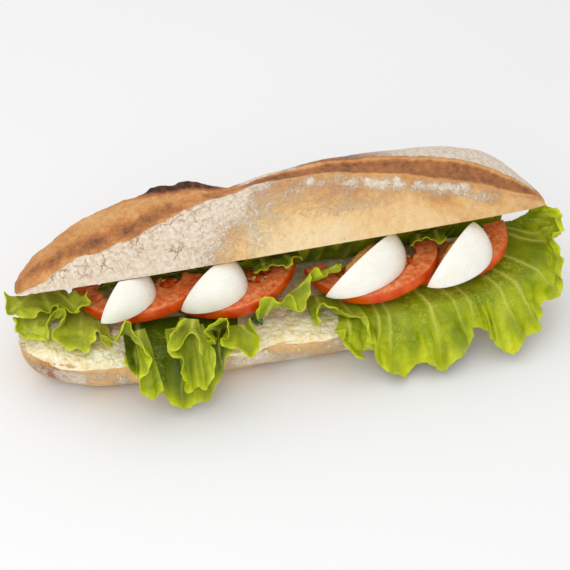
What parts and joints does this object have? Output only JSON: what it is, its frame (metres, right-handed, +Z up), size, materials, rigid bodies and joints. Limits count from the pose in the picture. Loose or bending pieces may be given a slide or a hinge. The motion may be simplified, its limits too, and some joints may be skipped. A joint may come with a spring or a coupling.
{
  "type": "submarine sandwich",
  "caption": "Long crusty bread roll cut open and filled with egg wedges, tomato half-slices, frilly green salad leaves and a creamy spread.",
  "frame": {"origin": "centre of the flat spot under the bottom bread, on which the sandwich rests", "axes": "+X along the roll towards its right end as seen from the open side, +Y from the open side towards the closed back, +Z up"},
  "size_m": [0.3131, 0.1163, 0.0926],
  "materials": {
    "crust": "baked crust, golden brown with flour",
    "pale_crust": "pale floured crust",
    "spread": "lumpy creamy spread, slightly moist",
    "tomato": "moist cut tomato with smooth skin",
    "egg_white": "smooth boiled egg white, satin",
    "egg_yolk": "crumbly boiled yolk",
    "lettuce": "thin frilly leaf, light gloss"
  },
  "bodies": {
    "root": {"bread_top": "crust", "bread_bottom": "pale_crust", "spread": "spread", "tomato_1": "tomato", "tomato_2": "tomato", "tomato_3": "tomato", "tomato_4": "tomato", "egg_white_1": "egg_white", "egg_white_2": "egg_white", "egg_white_3": "egg_white", "egg_white_4": "egg_white", "egg_yolk_1": "egg_yolk", "egg_yolk_2": "egg_yolk", "egg_yolk_3": "egg_yolk", "egg_yolk_4": "egg_yolk", "lettuce_1": "lettuce", "lettuce_2": "lettuce", "lettuce_3": "lettuce", "lettuce_4": "lettuce", "lettuce_5": "lettuce", "lettuce_6": "lettuce", "lettuce_7": "lettuce", "lettuce_8": "lettuce", "lettuce_9": "lettuce", "lettuce_10": "lettuce", "lettuce_11": "lettuce", "lettuce_12": "lettuce", "lettuce_13": "lettuce"}
  },
  "joints": []
}
